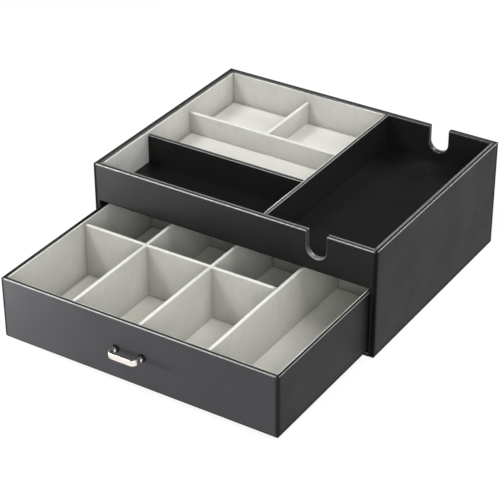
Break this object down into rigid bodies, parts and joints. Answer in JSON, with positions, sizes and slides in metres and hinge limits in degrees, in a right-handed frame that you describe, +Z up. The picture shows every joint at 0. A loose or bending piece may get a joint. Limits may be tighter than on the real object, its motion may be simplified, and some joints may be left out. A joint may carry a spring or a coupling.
{
  "type": "valet box with drawer",
  "caption": "Leather-wrapped valet box with lined open trays, a notched phone tray and a lined divided drawer below with a bow pull.",
  "frame": {"origin": "centre of the casing's footprint, on its underside (the face of the felt that rests on the table)", "axes": "+Z up, -Y towards the front, where the drawer pulls out, +X towards the phone tray's side; the longest extent, with the drawer open as it is stored, is along Y and the shortest along Z"},
  "size_m": [0.282, 0.373, 0.1036],
  "materials": {
    "case_board": "bare fibreboard, sealed inside its wrap",
    "bay_board": "fibreboard faced with black paper",
    "case_leather": "charcoal fine-grain PU leather, satin",
    "pad_leather": "black fine-grain PU leather, satin",
    "tray_suede": "beige microsuede on card",
    "base_felt": "black non-slip felt",
    "glide_tape": "black nylon pile tape",
    "drawer_board": "bare fibreboard, sealed inside its wrap",
    "drawer_leather": "charcoal fine-grain PU leather, satin",
    "drawer_sheet": "black backing sheet",
    "drawer_suede": "beige microsuede on card",
    "nickel": "polished nickel plate",
    "collar_nickel": "black nickel plate",
    "screw_steel": "plated steel"
  },
  "bodies": {
    "casing": {"left_side_board": "case_board", "right_side_board": "case_board", "back_board": "case_board", "front_fascia_board": "case_board", "partition_board": "case_board", "glasses_divider_board": "case_board", "base_board": "bay_board", "shelf_board": "bay_board", "left_side_cover": "case_leather", "right_side_cover": "case_leather", "back_cover": "case_leather", "front_cover": "case_leather", "base_edge_cover": "case_leather", "partition_cover": "case_leather", "glasses_divider_cover": "case_leather", "glasses_floor_pad": "pad_leather", "phone_tray_pad": "pad_leather", "left_wall_lining": "tray_suede", "partition_lining": "tray_suede", "back_wall_lining": "tray_suede", "tray_floor_lining": "tray_suede", "tray_cross_divider": "tray_suede", "tray_short_divider": "tray_suede", "base_felt": "base_felt", "drawer_glide_strips": "glide_tape"},
    "drawer": {"drawer_left_board": "drawer_board", "drawer_right_board": "drawer_board", "drawer_front_board": "drawer_board", "drawer_back_board": "drawer_board", "drawer_bottom_board": "drawer_board", "drawer_left_cover": "drawer_leather", "drawer_right_cover": "drawer_leather", "drawer_front_cover": "drawer_leather", "drawer_back_cover": "drawer_leather", "drawer_underside_sheet": "drawer_sheet", "drawer_left_lining": "drawer_suede", "drawer_right_lining": "drawer_suede", "drawer_front_lining": "drawer_suede", "drawer_back_lining": "drawer_suede", "drawer_floor_lining": "drawer_suede", "drawer_long_divider_1": "drawer_suede", "drawer_long_divider_2": "drawer_suede", "drawer_long_divider_3": "drawer_suede", "drawer_cross_divider": "drawer_suede", "pull_handle": "nickel", "pull_collars": "collar_nickel", "pull_screws": "screw_steel"}
  },
  "joints": [
    {"name": "drawer_slide", "type": "slide", "parent": "casing", "child": "drawer", "axis": [0, -1, 0], "range_m": [-0.14, 0.04]}
  ]
}
